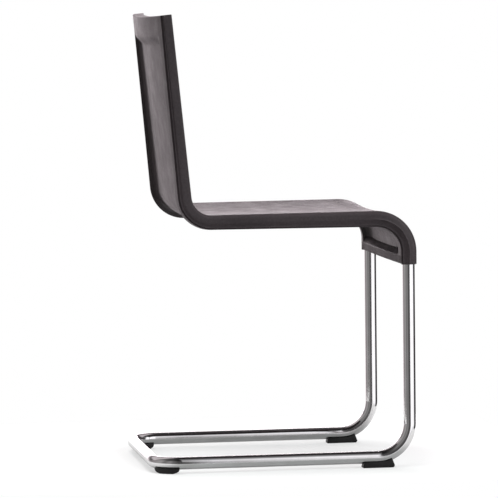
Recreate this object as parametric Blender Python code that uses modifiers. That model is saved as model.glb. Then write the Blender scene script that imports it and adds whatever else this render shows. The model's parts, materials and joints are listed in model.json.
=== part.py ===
"""Cantilever side chair: a one-piece foam shell plugged onto a bent steel tube base.

Lengths are metres and +Z is up. The chair faces -Y, and the sitter's left is +X. The origin is on
the floor, under the middle of the chair's outline.
"""

from math import asin, cos, pi, radians, sin, sqrt, tan

import bmesh
import bpy
from mathutils import Matrix, Vector

# Overall sizes
SEAT_WIDTH = 0.390
OVERALL_DEPTH = 0.4825
OVERALL_HEIGHT = 0.8114
SEAT_HEIGHT = 0.460
SEAT_DEPTH = 0.4015
SEAT_SLOPE = radians(0.34)
BACK_RECLINE = radians(5.55)

# Foam shell: the line that the sitter touches, seen from the side
REAR_BEND_RADIUS = 0.036
FRONT_BEND_RADIUS = 0.0745
SHELL_END_Z = 0.3636
BEND_STEPS = 8

# Foam shell: section across the chair
BEAM_WIDTH = 0.027
BEAM_DEPTH_TOP = 0.0204
BEAM_DEPTH_BACK = 0.0240
BEAM_DEPTH_SEAT_REAR = 0.0250
BEAM_DEPTH_SEAT_FRONT = 0.0280
BEAM_DEPTH_END = 0.0292
WEB_THICKNESS_BACK = 0.0095
WEB_THICKNESS_BACK_FOOT = 0.0105
WEB_THICKNESS_SEAT = 0.0125
WEB_THICKNESS_APRON = 0.017
DISH_TOP = 0.014
DISH_BACK = 0.009
DISH_SEAT = 0.005
DISH_FRONT = 0.003
BACK_EDGE_RADIUS = 0.003
SEAT_EDGE_RADIUS = 0.007
APRON_EDGE_RADIUS = 0.012
REAR_EDGE_RADIUS = 0.003
BEAM_INNER_RADIUS = 0.0025
BEAM_WALL_DRAFT = 0.0015
WEB_FILLET = 0.0075
END_CHAMFER = 0.0015
EDGE_STEPS = 3
FRONT_STEPS = 4
WEB_STEPS = 3

# Foam shell: cross members
TOP_EDGE_DIP = 0.003
TOP_BAND_HEIGHT = 0.031
TOP_BAND_DIP = 0.007
TOP_BAND_RAMP = 0.018
RAMP_STEPS = 5
BACK_STEPS = 3
LIP_HEIGHT = 0.0148
LEDGE_HEIGHT = 0.0118
GUTTER_DEPTH = 0.0015
GUTTER_EDGE = 0.0008

# Steel tube base
TUBE_DIAMETER = 0.022
TUBE_WALL = 0.0027
TUBE_SIDE_COVER = 0.003
TUBE_FRONT_COVER = 0.0035
TUBE_FLOOR_BEND_RADIUS = 0.060
TUBE_REAR_CORNER_RADIUS = 0.045
TUBE_BEND_STEPS = 9
TUBE_SIDES = 16

# Steel inserts inside the foam
RAIL_WALL = 0.0025
RAIL_DEPTH_BACK = 0.0125
RAIL_PLUG_LENGTH = 0.080
RAIL_UP_THE_BACK = 0.045
RAIL_SIDES = 12
SPRING_WIDTH = 0.017
SPRING_THICKNESS = 0.0025
SPRING_TONGUE_LENGTH = 0.040
SPRING_SHOULDER_GAP = 0.001
SPRING_FROM_TOP = 0.010
STRAP_HEIGHT = 0.018
STRAP_THICKNESS = 0.003
STRAP_STEPS = 12
TIE_HEIGHT = 0.011
TIE_THICKNESS = 0.003
TIE_FRONT_SKIN = 0.0035

# Fasteners
RIVET_DIAMETER = 0.004
RIVET_HEAD_DIAMETER = 0.0075
RIVET_HEAD_HEIGHT = 0.0015
RIVET_SPACING = 0.018
SCREW_DIAMETER = 0.005
SCREW_HEAD_DIAMETER = 0.0095
SCREW_HEAD_HEIGHT = 0.0027
SCREW_SOCKET_DIAMETER = 0.0036
SCREW_SOCKET_DEPTH = 0.0015
SCREW_FROM_TUBE_END = 0.0125
HEAD_DOME_SHARE = 0.8
FASTENER_SIDES = 12

# Glides
GLIDE_HEIGHT = 0.007
GLIDE_WIDTH = 0.021
GLIDE_SADDLE = 0.0035
FRONT_GLIDE_LENGTH = 0.058
FRONT_GLIDE_PAST_BEND = 0.031
FRONT_GLIDE_END_SLANT = 0.005
REAR_GLIDE_START = radians(5)
REAR_GLIDE_ANGLE = radians(54)
REAR_GLIDE_STEPS = 7
GLIDE_STUD_DIAMETER = 0.006
GLIDE_STUD_INSIDE_TUBE = 0.002

# Gap left around every piece that sits in or on another
CLEARANCE = 0.0003

# Worked-out places
SIDES = {"left": 1, "right": -1}
HALF_WIDTH = SEAT_WIDTH / 2
FRONT_Y = -OVERALL_DEPTH / 2
TUBE_RADIUS = TUBE_DIAMETER / 2
BORE_RADIUS = TUBE_RADIUS - TUBE_WALL
RAIL_RADIUS = BORE_RADIUS - CLEARANCE
TUBE_X = HALF_WIDTH - TUBE_SIDE_COVER - TUBE_RADIUS
RAIL_DEPTH_APRON = TUBE_FRONT_COVER + TUBE_RADIUS
UPRIGHT_Y = FRONT_Y + RAIL_DEPTH_APRON
RUNNER_Z = GLIDE_HEIGHT + TUBE_RADIUS
REAR_TUBE_Y = OVERALL_DEPTH / 2 - TUBE_RADIUS
WEB_HALF_WIDTH = HALF_WIDTH - BEAM_WIDTH - BEAM_WALL_DRAFT
TIE_POCKET_Y = FRONT_Y + TIE_FRONT_SKIN + DISH_FRONT
TIE_FRONT_Y = UPRIGHT_Y + SCREW_HEAD_DIAMETER / 2 + CLEARANCE
RAIL_BORE_INSIDE = (RAIL_RADIUS - RAIL_WALL) * cos(pi / RAIL_SIDES) - CLEARANCE
SPRING_TONGUE_WIDTH = 2 * sqrt(RAIL_BORE_INSIDE ** 2 - (SPRING_THICKNESS / 2) ** 2)


# Routes: straight runs joined by tangent arcs

class Route:
    """Straight runs joined by arcs through the given corners, read by the distance along them."""

    def __init__(self, corners, radii):
        corners = [Vector(corner) for corner in corners]
        self.runs = []
        start = corners[0]
        for before, corner, after, radius in zip(corners, corners[1:], corners[2:], radii):
            entering = (corner - before).normalized()
            leaving = (after - corner).normalized()
            turn = entering.angle(leaving)
            reach = radius * tan(turn / 2)
            self.add_straight(start, corner - entering * reach)
            self.add_arc(corner - entering * reach, entering, leaving, radius, turn)
            start = corner + leaving * reach
        self.add_straight(start, corners[-1])

    def add_straight(self, start, end):
        direction = (end - start).normalized()
        self.runs.append(((end - start).length, lambda d: (start + direction * d, direction)))

    def add_arc(self, start, entering, leaving, radius, turn):
        axis = entering.cross(leaving).normalized()
        centre = start + axis.cross(entering) * radius

        def place(distance):
            rotation = Matrix.Rotation(distance / radius, 3, axis)
            return centre + rotation @ (start - centre), rotation @ entering

        self.runs.append((radius * turn, place))

    def ends(self):
        """The distances at which the runs start and end."""
        marks = [0.0]
        for length, _ in self.runs:
            marks.append(marks[-1] + length)
        return marks

    def at(self, distance):
        """The point and the direction of travel at a distance along the route."""
        for length, place in self.runs[:-1]:
            if distance <= length:
                return place(distance)
            distance -= length
        return self.runs[-1][1](distance)

    def marks(self, steps):
        """Distances that follow the route closely: the ends of each run, and steps along each arc."""
        ends = self.ends()
        found = []
        for number, (first, last) in enumerate(zip(ends, ends[1:])):
            count = steps if number % 2 else 1
            found += [first + (last - first) * i / count for i in range(count)]
        return found + [ends[-1]]


def side_line():
    """The line that the sitter touches, seen from the side, from the top of the back down."""
    seat_rear_z = SEAT_HEIGHT - SEAT_DEPTH * tan(SEAT_SLOPE)
    seat_rear_y = FRONT_Y + SEAT_DEPTH
    top_y = seat_rear_y + (OVERALL_HEIGHT - seat_rear_z) * tan(BACK_RECLINE)
    corners = [
        (0, top_y, OVERALL_HEIGHT),
        (0, seat_rear_y, seat_rear_z),
        (0, FRONT_Y, SEAT_HEIGHT),
        (0, FRONT_Y, SHELL_END_Z),
    ]
    return Route(corners, [REAR_BEND_RADIUS, FRONT_BEND_RADIUS])


SIDE_LINE = side_line()
BACK_TOP, BACK_FOOT, _, _, APRON_TOP, APRON_END = SIDE_LINE.ends()
LIP_TOP = APRON_END - LIP_HEIGHT
LEDGE_TOP = LIP_TOP - LEDGE_HEIGHT

# The base tube reaches up to where the apron starts to bend
TUBE_TOP_Z = SIDE_LINE.at(APRON_TOP)[0].z - CLEARANCE
TIE_Z = TUBE_TOP_Z - SCREW_FROM_TUBE_END


def shell_place(distance, x, depth):
    """The point at x across the chair and at a depth behind the sitter's line."""
    point, travel = SIDE_LINE.at(distance)
    behind = Vector((0, -travel.z, travel.y))
    return Vector((x, 0, 0)) + point + behind * depth


def between(distance, values):
    """A value given at the top and at the ends of the side line's runs, read anywhere along it."""
    ends = SIDE_LINE.ends()
    for first, last, low, high in zip(ends, ends[1:], values, values[1:]):
        if distance <= last:
            return low + (high - low) * (distance - first) / (last - first)
    return values[-1]


def beam_depth(distance):
    return between(distance, [BEAM_DEPTH_TOP, BEAM_DEPTH_BACK, BEAM_DEPTH_SEAT_REAR,
                              BEAM_DEPTH_SEAT_FRONT, BEAM_DEPTH_END, BEAM_DEPTH_END])


def web_thickness(distance):
    return between(distance, [WEB_THICKNESS_BACK, WEB_THICKNESS_BACK_FOOT, WEB_THICKNESS_SEAT,
                              WEB_THICKNESS_SEAT, WEB_THICKNESS_APRON, WEB_THICKNESS_APRON])


def edge_radius(distance):
    """Rounding of the outer edge on the sitter's side."""
    return between(distance, [BACK_EDGE_RADIUS, BACK_EDGE_RADIUS, SEAT_EDGE_RADIUS,
                              SEAT_EDGE_RADIUS, APRON_EDGE_RADIUS, APRON_EDGE_RADIUS])


def bow(x):
    """1 in the middle of the chair, falling to 0 at its sides."""
    return 1 - (x / HALF_WIDTH) ** 2


def dish(distance, x):
    """How far the section is hollowed backwards or downwards at x."""
    middle = between(distance, [DISH_TOP, DISH_BACK, DISH_SEAT, DISH_SEAT, DISH_FRONT, DISH_FRONT])
    return middle * bow(x)


def top_dip(distance, x):
    """How far the top edge sinks towards the middle; it fades out down the top band."""
    return TOP_EDGE_DIP * bow(x) * max(0.0, 1 - distance / TOP_BAND_HEIGHT)


def smooth_step(value, low, high):
    share = min(1.0, max(0.0, (value - low) / (high - low)))
    return share * share * (3 - 2 * share)


def hollow(distance, x):
    """1 where the thin web shows behind, and 0 at the solid top band and bottom lip."""
    band = TOP_BAND_HEIGHT + TOP_BAND_DIP * bow(x)
    ramp_end = TOP_BAND_HEIGHT + TOP_BAND_DIP + TOP_BAND_RAMP
    return smooth_step(distance, band, ramp_end) * ledge(distance)


def ledge(distance):
    """1 on the web, more in the gutter under its lower edge, then down the sloping ledge to 0."""
    gutter = 1 + GUTTER_DEPTH / (BEAM_DEPTH_END - WEB_THICKNESS_APRON)
    gutter_top = LEDGE_TOP + GUTTER_EDGE
    if distance < gutter_top:
        return 1 + (gutter - 1) * max(0.0, distance - LEDGE_TOP) / GUTTER_EDGE
    return gutter * max(0.0, LIP_TOP - distance) / (LIP_TOP - gutter_top)


# Scene, materials and modelling helpers

for old in list(bpy.data.objects):
    bpy.data.objects.remove(old)

CHAIR = bpy.data.collections.new("Cantilever side chair")
CUTTERS = bpy.data.collections.new("Cutters")
SHELL_CUTTERS = bpy.data.collections.new("Shell cutters")
for collection in (CHAIR, CUTTERS):
    bpy.context.scene.collection.children.link(collection)
CUTTERS.children.link(SHELL_CUTTERS)


def material(name, colour, roughness, metallic=0.0):
    made = bpy.data.materials.new(name)
    made.use_nodes = True
    shader = made.node_tree.nodes["Principled BSDF"]
    shader.inputs["Base Color"].default_value = (*colour, 1.0)
    shader.inputs["Roughness"].default_value = roughness
    shader.inputs["Metallic"].default_value = metallic
    return made


FOAM = material("charcoal skin foam", (0.040, 0.033, 0.035), 0.62)
CHROME = material("polished chrome", (0.78, 0.78, 0.79), 0.10, 1.0)
BLACK_PLASTIC = material("black plastic", (0.018, 0.018, 0.018), 0.50)
FRAME_STEEL = material("primed steel", (0.20, 0.20, 0.21), 0.50, 1.0)
SPRING_STEEL = material("blued spring steel", (0.12, 0.13, 0.16), 0.35, 1.0)
COATED_STEEL = material("black coated steel", (0.03, 0.03, 0.03), 0.45, 0.3)
ZINC = material("zinc plate", (0.62, 0.62, 0.60), 0.30, 1.0)


def add_object(name, data, collection=CHAIR, matrix=None):
    made = bpy.data.objects.new(name, data)
    collection.objects.link(made)
    if matrix is not None:
        made.matrix_world = matrix
    if collection is not CHAIR:
        made.hide_render = True
        made.display_type = "WIRE"
    return made


def finish(obj, surface):
    obj.data.materials.clear()
    obj.data.materials.append(surface)
    if obj.type == "MESH":
        obj.data.shade_smooth()
        obj.data.set_sharp_from_angle(angle=radians(35))
    return obj


def as_mesh(obj):
    """Replaces an object by the mesh that its curve and modifiers make, with loose caps welded."""
    bpy.context.view_layer.update()
    evaluated = obj.evaluated_get(bpy.context.evaluated_depsgraph_get())
    mesh = bpy.data.meshes.new_from_object(evaluated)
    edit = bmesh.new()
    edit.from_mesh(mesh)
    bmesh.ops.remove_doubles(edit, verts=edit.verts, dist=1e-6)
    bmesh.ops.recalc_face_normals(edit, faces=edit.faces)
    edit.to_mesh(mesh)
    edit.free()
    name, collection, matrix = obj.name, obj.users_collection[0], obj.matrix_world.copy()
    bpy.data.objects.remove(obj)
    return add_object(name, mesh, collection, matrix)


def poly_curve(points, closed=False):
    curve = bpy.data.curves.new("route", "CURVE")
    curve.dimensions = "3D"
    spline = curve.splines.new("POLY")
    spline.points.add(len(points) - 1)
    for place, point in zip(spline.points, points):
        place.co = (*point, 1.0)
    spline.use_cyclic_u = closed
    return curve


def round_bar(name, points, radius, sides, collection=CHAIR, wall=None):
    """A rod along the points or, with a wall, a tube that is open at both ends."""
    curve = poly_curve(points)
    curve.bevel_depth = radius
    curve.bevel_resolution = (sides - 4) // 2
    curve.use_fill_caps = wall is None
    bar = add_object(name, curve, collection)
    if wall is not None:
        skin = bar.modifiers.new("wall", "SOLIDIFY")
        skin.thickness = wall
        skin.offset = -1
    return as_mesh(bar)


def plate(name, outline, thickness, matrix, collection=CHAIR):
    """A flat outline in its own X and Y, thickened equally to both sides."""
    curve = poly_curve([(x, y, 0) for x, y in outline], closed=True)
    curve.dimensions = "2D"
    curve.fill_mode = "BOTH"
    curve.extrude = thickness / 2
    return as_mesh(add_object(name, curve, collection, matrix))


def ribbon(name, line, height, thickness, matrix, collection=CHAIR):
    """A flat bar on edge: a line in its own X and Y, raised along Z and thickened about the line."""
    curve = poly_curve([(x, y, 0) for x, y in line])
    curve.dimensions = "2D"
    curve.fill_mode = "NONE"
    curve.extrude = height / 2
    bar = add_object(name, curve, collection, matrix)
    sheet = bar.modifiers.new("thickness", "SOLIDIFY")
    sheet.thickness = thickness
    sheet.offset = 0
    sheet.use_even_offset = True
    return as_mesh(bar)


def turned(name, profile, matrix, collection=CHAIR):
    """A turned piece from (radius, height) points that run down its outer side from axis to axis."""
    mesh = bpy.data.meshes.new(name)
    edit = bmesh.new()
    points = [edit.verts.new((radius, 0, height)) for radius, height in profile]
    for first, second in zip(points, points[1:]):
        edit.edges.new((first, second))
    edit.to_mesh(mesh)
    edit.free()
    piece = add_object(name, mesh, collection, matrix)
    lathe = piece.modifiers.new("lathe", "SCREW")
    lathe.axis = "Z"
    lathe.steps = lathe.render_steps = FASTENER_SIDES
    lathe.use_merge_vertices = True
    lathe.merge_threshold = 1e-5
    return as_mesh(piece)


def cylinder(name, start, end, radius, collection=CUTTERS):
    """A plain round bar between two points."""
    start, end = Vector(start), Vector(end)
    along = (end - start).to_track_quat("Z", "Y").to_matrix().to_4x4()
    length = (end - start).length
    profile = [(0, length), (radius, length), (radius, 0), (0, 0)]
    return turned(name, profile, Matrix.Translation(start) @ along, collection)


def boolean(target, other, operation="DIFFERENCE"):
    """Cuts from, or joins to, the target one object, or every object of a collection."""
    change = target.modifiers.new(operation.lower(), "BOOLEAN")
    change.operation = operation
    change.solver = "EXACT"
    if isinstance(other, bpy.types.Collection):
        change.operand_type = "COLLECTION"
        change.collection = other
    else:
        change.object = other
    return target


def axes(origin, x, y):
    """A matrix whose X and Y axes point along the given directions."""
    x = Vector(x).normalized()
    z = x.cross(Vector(y)).normalized()
    y = z.cross(x)
    turned_axes = Matrix((x, y, z)).transposed().to_4x4()
    return Matrix.Translation(Vector(origin)) @ turned_axes


# Foam shell

def front_edge(distance, inset):
    """(x, depth) of the sitter's side, from the right edge to the left, with rounded outer edges."""
    radius = edge_radius(distance)
    flat = HALF_WIDTH - inset - radius
    xs = [flat * i / FRONT_STEPS for i in range(FRONT_STEPS + 1)]
    line = [(x, dish(distance, x) + inset) for x in xs]
    for step in range(EDGE_STEPS):
        angle = (step + 1) / EDGE_STEPS * pi / 2
        x = flat + radius * sin(angle)
        line.append((x, inset + radius * (1 - cos(angle)) + dish(distance, x)))
    return [(-x, depth) for x, depth in reversed(line[1:])] + line


def rear_edge(distance, inset):
    """(x, depth) behind, from the left edge to the right: beam, wall, web, wall and beam."""
    half = HALF_WIDTH - inset
    depth = beam_depth(distance) - inset
    cut = depth - web_thickness(distance)
    inner = HALF_WIDTH - BEAM_WIDTH
    web_edge = inner - BEAM_WALL_DRAFT
    web_flat = web_edge - WEB_FILLET
    corner = 1 - cos(pi / 4)
    web_xs = [web_flat * (1 - i / WEB_STEPS) for i in range(WEB_STEPS + 1)]
    line = [
        (half, depth - REAR_EDGE_RADIUS),
        (half - REAR_EDGE_RADIUS * corner, depth - REAR_EDGE_RADIUS * corner),
        (half - REAR_EDGE_RADIUS, depth),
        (inner + BEAM_INNER_RADIUS, depth),
        (inner + BEAM_INNER_RADIUS * corner, depth - BEAM_INNER_RADIUS * corner),
        (inner, depth - BEAM_INNER_RADIUS),
        (web_edge, depth - cut + WEB_FILLET),
        (web_edge - WEB_FILLET * corner, depth - cut + WEB_FILLET * corner),
        *[(x, depth - cut) for x in web_xs],
    ]
    line = [(x, depth + (behind - depth) * wall_share(distance, x) + dish(distance, x))
            for x, behind in line]
    return line + [(-x, behind) for x, behind in reversed(line[:-1])]


def wall_share(distance, x):
    """How much of the hollow shows at x: none of it reaches the beams."""
    return hollow(distance, x) if x < HALF_WIDTH - BEAM_WIDTH + BEAM_INNER_RADIUS else 1.0


def shell_stations():
    """(distance, inset) of each section, closer together where the shape changes."""
    ramp_length = TOP_BAND_DIP + TOP_BAND_RAMP
    ramp_end = TOP_BAND_HEIGHT + ramp_length
    ramp = [TOP_BAND_HEIGHT + ramp_length * i / RAMP_STEPS for i in range(RAMP_STEPS + 1)]
    back = [ramp_end + (BACK_FOOT - ramp_end) * i / BACK_STEPS for i in range(1, BACK_STEPS)]
    places = [END_CHAMFER, *ramp, *back, *SIDE_LINE.marks(BEND_STEPS)[1:-1],
              LEDGE_TOP, LEDGE_TOP + GUTTER_EDGE, LIP_TOP, APRON_END - END_CHAMFER]
    return [(BACK_TOP, END_CHAMFER), *[(place, 0.0) for place in sorted(places)],
            (APRON_END, END_CHAMFER)]


def make_shell():
    """The foam moulding: sections lofted along the side line, closed at both ends, then cut."""
    edit = bmesh.new()
    rings = []
    for distance, inset in shell_stations():
        section = front_edge(distance, inset) + rear_edge(distance, inset)
        rings.append([edit.verts.new(shell_place(distance + top_dip(distance, x), x, depth))
                      for x, depth in section])
    for ring, following in zip(rings, rings[1:]):
        for i in range(len(ring)):
            edit.faces.new((ring[i - 1], ring[i], following[i], following[i - 1]))
    edit.faces.new(rings[0])
    edit.faces.new(reversed(rings[-1]))
    bmesh.ops.recalc_face_normals(edit, faces=edit.faces)
    mesh = bpy.data.meshes.new("seat_shell")
    edit.to_mesh(mesh)
    edit.free()
    shell = add_object("seat_shell", mesh)
    boolean(shell, SHELL_CUTTERS)
    return finish(shell, FOAM)


# Steel tube base

def base_route():
    x = TUBE_X
    corners = [
        (-x, UPRIGHT_Y, TUBE_TOP_Z),
        (-x, UPRIGHT_Y, RUNNER_Z),
        (-x, REAR_TUBE_Y, RUNNER_Z),
        (x, REAR_TUBE_Y, RUNNER_Z),
        (x, UPRIGHT_Y, RUNNER_Z),
        (x, UPRIGHT_Y, TUBE_TOP_Z),
    ]
    floor, corner = TUBE_FLOOR_BEND_RADIUS, TUBE_REAR_CORNER_RADIUS
    return Route(corners, [floor, corner, corner, floor])


BASE_ROUTE = base_route()
BASE_POINTS = [BASE_ROUTE.at(mark)[0] for mark in BASE_ROUTE.marks(TUBE_BEND_STEPS)]
BASE_SPACE = round_bar("base_tube_space", BASE_POINTS, TUBE_RADIUS + CLEARANCE, TUBE_SIDES, CUTTERS)


def make_base_tube():
    tube = round_bar("base_tube", BASE_POINTS, TUBE_RADIUS, TUBE_SIDES, wall=TUBE_WALL)
    for side, sign in SIDES.items():
        for name, place in (("front", front_stud_place(sign)), ("rear", rear_stud_place(sign))):
            hole = cylinder(f"{name}_{side}_stud_hole", place, place + Vector((0, 0, RUNNER_Z)),
                            GLIDE_STUD_DIAMETER / 2 + CLEARANCE)
            boolean(tube, hole)
        boolean(tube, screw_hole(f"{side}_tube_screw_hole", sign))
        socket_foot = Vector((sign * TUBE_X, UPRIGHT_Y, SHELL_END_Z - TUBE_DIAMETER))
        socket_top = Vector((sign * TUBE_X, UPRIGHT_Y, TUBE_TOP_Z + CLEARANCE))
        cylinder(f"{side}_socket_cutter", socket_foot, socket_top,
                 TUBE_RADIUS + 2 * CLEARANCE, SHELL_CUTTERS)
    return finish(tube, CHROME)


# Steel inserts inside the foam

def rail_depth(distance):
    """Depth of the rail's axis: in line with the base tube in front, and nearer the sitter behind."""
    return between(distance, [RAIL_DEPTH_BACK, RAIL_DEPTH_BACK, RAIL_DEPTH_BACK,
                              RAIL_DEPTH_APRON, RAIL_DEPTH_APRON, RAIL_DEPTH_APRON])


def rail_points(sign):
    """The rail's axis, down from the foot of the back, along the seat and into the base tube."""
    top = BACK_FOOT - RAIL_UP_THE_BACK
    marks = [mark for mark in SIDE_LINE.marks(BEND_STEPS) if top < mark <= APRON_TOP]
    points = [shell_place(mark, sign * TUBE_X, rail_depth(mark)) for mark in [top, *marks]]
    return points + [Vector((sign * TUBE_X, UPRIGHT_Y, TUBE_TOP_Z - RAIL_PLUG_LENGTH))]


def back_axes(sign, distance, depth):
    """Axes on the back at the beam's middle: X across the chair, Y up the back, Z to its front."""
    _, travel = SIDE_LINE.at(distance)
    return axes(shell_place(distance, sign * TUBE_X, depth), (1, 0, 0), -travel)


def spring_outline(grow):
    """A blade that tapers to a narrow tongue below, drawn upwards from the foot of its taper."""
    blade = SPRING_WIDTH / 2 + grow
    tongue = SPRING_TONGUE_WIDTH / 2 + grow
    taper_foot = SPRING_SHOULDER_GAP - grow
    taper_top = taper_foot + blade - tongue
    top = BACK_FOOT - RAIL_UP_THE_BACK - SPRING_FROM_TOP + grow
    foot = -SPRING_TONGUE_LENGTH - grow
    return [(tongue, foot), (tongue, taper_foot), (blade, taper_top), (blade, top),
            (-blade, top), (-blade, taper_top), (-tongue, taper_foot), (-tongue, foot)]


def rivet_profile(grip, grow):
    """A dome-headed rivet about the middle of what it grips."""
    shank = RIVET_DIAMETER / 2 + grow
    head = RIVET_HEAD_DIAMETER / 2 + grow
    under = grip / 2 + CLEARANCE - grow
    top = grip / 2 + CLEARANCE + RIVET_HEAD_HEIGHT + grow
    dome = (head * HEAD_DOME_SHARE, under + (top - under) * HEAD_DOME_SHARE)
    upper = [(0, top), dome, (head, under), (shank, under)]
    return upper + [(radius, -height) for radius, height in reversed(upper)]


def spring_rivet_places(sign):
    """Axes of the two rivets that hold a spring's tongue in its rail."""
    joint = BACK_FOOT - RAIL_UP_THE_BACK
    first = (SPRING_TONGUE_LENGTH - RIVET_SPACING) / 2
    for name, along in (("upper", first), ("lower", first + RIVET_SPACING)):
        yield name, back_axes(sign, joint + along, RAIL_DEPTH_BACK)


def strap_middle():
    """Distance down the back of the strap's middle, level with the springs' upper ends."""
    return SPRING_FROM_TOP + STRAP_HEIGHT / 2


def strap_depth():
    """Depth of the strap's middle surface at the springs: it lies on their rear faces."""
    return RAIL_DEPTH_BACK + (SPRING_THICKNESS + STRAP_THICKNESS) / 2 + CLEARANCE


def strap_line(grow):
    """The strap, flat on the springs and bowed between them: X across the chair, Y to the rear."""
    middle = strap_middle()
    end = TUBE_X + SPRING_WIDTH / 2 + grow
    flat = TUBE_X - SPRING_WIDTH / 2
    xs = [flat * (2 * i / STRAP_STEPS - 1) for i in range(STRAP_STEPS + 1)]
    bowed = [(x, dish(middle, x) - dish(middle, flat)) for x in xs]
    return [(-end, 0.0), *bowed, (end, 0.0)]


def make_rails_and_springs():
    for side, sign in SIDES.items():
        points = rail_points(sign)
        rail = round_bar(f"seat_rail_{side}", points, RAIL_RADIUS, RAIL_SIDES, wall=RAIL_WALL)
        upper_end = points[0] + (points[0] - points[1]).normalized() * SPRING_SHOULDER_GAP
        round_bar(f"{side}_rail_space", [upper_end, *points],
                  RAIL_RADIUS + CLEARANCE, RAIL_SIDES, SHELL_CUTTERS)
        boolean(rail, screw_hole(f"{side}_rail_screw_hole", sign))

        joint = back_axes(sign, BACK_FOOT - RAIL_UP_THE_BACK, RAIL_DEPTH_BACK)
        spring = plate(f"back_spring_{side}", spring_outline(0.0), SPRING_THICKNESS, joint)
        plate(f"{side}_spring_space", spring_outline(CLEARANCE),
              SPRING_THICKNESS + 2 * CLEARANCE, joint, SHELL_CUTTERS)

        for name, place in spring_rivet_places(sign):
            rivet = f"spring_rivet_{side}_{name}"
            grip = 2 * RAIL_RADIUS
            finish(turned(rivet, rivet_profile(grip, 0.0), place), ZINC)
            turned(f"{rivet}_space", rivet_profile(grip, CLEARANCE), place, SHELL_CUTTERS)
            bore = rivet_bore(f"{rivet}_bore", grip, place)
            boolean(rail, bore)
            boolean(spring, bore)

        finish(rail, FRAME_STEEL)
        finish(spring, SPRING_STEEL)


def rivet_bore(name, grip, place):
    """The hole for a rivet, well past both ends of what it grips."""
    radius = RIVET_DIAMETER / 2 + CLEARANCE
    return turned(name, [(0, grip), (radius, grip), (radius, -grip), (0, -grip)], place, CUTTERS)


def make_top_strap():
    middle = strap_middle()
    _, travel = SIDE_LINE.at(middle)
    behind = Vector((0, -travel.z, travel.y))
    place = axes(shell_place(middle, 0, strap_depth()), (1, 0, 0), behind)
    strap = ribbon("top_strap", strap_line(0.0), STRAP_HEIGHT, STRAP_THICKNESS, place)
    ribbon("top_strap_space", strap_line(CLEARANCE), STRAP_HEIGHT + 2 * CLEARANCE,
           STRAP_THICKNESS + 2 * CLEARANCE, place, SHELL_CUTTERS)
    for side, sign in SIDES.items():
        rivet = f"strap_rivet_{side}"
        grip = SPRING_THICKNESS + CLEARANCE + STRAP_THICKNESS
        grip_middle = RAIL_DEPTH_BACK + (STRAP_THICKNESS + CLEARANCE) / 2
        rivet_place = back_axes(sign, middle, grip_middle)
        finish(turned(rivet, rivet_profile(grip, 0.0), rivet_place), ZINC)
        turned(f"{rivet}_space", rivet_profile(grip, CLEARANCE), rivet_place, SHELL_CUTTERS)
        bore = rivet_bore(f"{rivet}_bore", grip, rivet_place)
        boolean(strap, bore)
        boolean(CHAIR.objects[f"back_spring_{side}"], bore)
    return finish(strap, FRAME_STEEL)


# Front tie and the screws that hold the rails in the base

def screw_hole(name, sign):
    """A hole from the tie's pocket through to the middle of the rail."""
    inner = Vector((sign * (WEB_HALF_WIDTH - 2 * TIE_THICKNESS), UPRIGHT_Y, TIE_Z))
    outer = Vector((sign * TUBE_X, UPRIGHT_Y, TIE_Z))
    return cylinder(name, inner, outer, SCREW_DIAMETER / 2 + CLEARANCE)


def tie_line():
    """The tie seen from above: a bar behind the screw heads, with a flange turned forward at each end."""
    end = WEB_HALF_WIDTH - CLEARANCE - TIE_THICKNESS / 2
    bar = TIE_FRONT_Y + TIE_THICKNESS / 2
    front = TIE_POCKET_Y + CLEARANCE
    return [(-end, front), (-end, bar), (end, bar), (end, front)]


def cut_tie_seat():
    """The slot in the lip's underside for the tie, wider at its ends for the flanges and screws."""
    foot = SHELL_END_Z - TIE_HEIGHT
    height = TIE_Z + TIE_HEIGHT / 2 + CLEARANCE - foot
    middle = Matrix.Translation((0, 0, foot + height / 2))
    half = WEB_HALF_WIDTH
    front = TIE_FRONT_Y - CLEARANCE
    back = TIE_FRONT_Y + TIE_THICKNESS + CLEARANCE
    slot = [(-half, front), (half, front), (half, back), (-half, back)]
    plate("tie_slot_cutter", slot, height, middle, SHELL_CUTTERS)
    inner = half - 2 * TIE_THICKNESS - 2 * SCREW_HEAD_HEIGHT
    for side, sign in SIDES.items():
        pocket = [(sign * inner, TIE_POCKET_Y), (sign * half, TIE_POCKET_Y),
                  (sign * half, back), (sign * inner, back)]
        plate(f"{side}_tie_pocket_cutter", pocket, height, middle, SHELL_CUTTERS)


def screw_profile(length):
    """A button-head screw with a blind socket, from its head down."""
    socket = SCREW_SOCKET_DIAMETER / 2
    head = SCREW_HEAD_DIAMETER / 2
    shank = SCREW_DIAMETER / 2
    return [(0, SCREW_HEAD_HEIGHT - SCREW_SOCKET_DEPTH), (socket, SCREW_HEAD_HEIGHT - SCREW_SOCKET_DEPTH),
            (socket, SCREW_HEAD_HEIGHT), (head * HEAD_DOME_SHARE, SCREW_HEAD_HEIGHT * HEAD_DOME_SHARE),
            (head, 0), (shank, 0), (shank, -length), (0, -length)]


def make_tie_and_screws():
    cut_tie_seat()
    place = Matrix.Translation((0, 0, TIE_Z))
    tie = ribbon("front_cross_tie", tie_line(), TIE_HEIGHT, TIE_THICKNESS, place)
    for side, sign in SIDES.items():
        boolean(tie, screw_hole(f"{side}_tie_screw_hole", sign))
        head_face = WEB_HALF_WIDTH - 2 * CLEARANCE - TIE_THICKNESS
        seat = axes((sign * head_face, UPRIGHT_Y, TIE_Z), (0, 0, 1), (0, sign, 0))
        length = TUBE_X - head_face - CLEARANCE
        finish(turned(f"rail_screw_{side}", screw_profile(length), seat), ZINC)
        cylinder(f"{side}_shell_screw_hole", (sign * (WEB_HALF_WIDTH - TIE_THICKNESS), UPRIGHT_Y, TIE_Z),
                 (sign * TUBE_X, UPRIGHT_Y, TIE_Z), SCREW_DIAMETER / 2 + CLEARANCE, SHELL_CUTTERS)
    return finish(tie, COATED_STEEL)


# Glides

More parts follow.
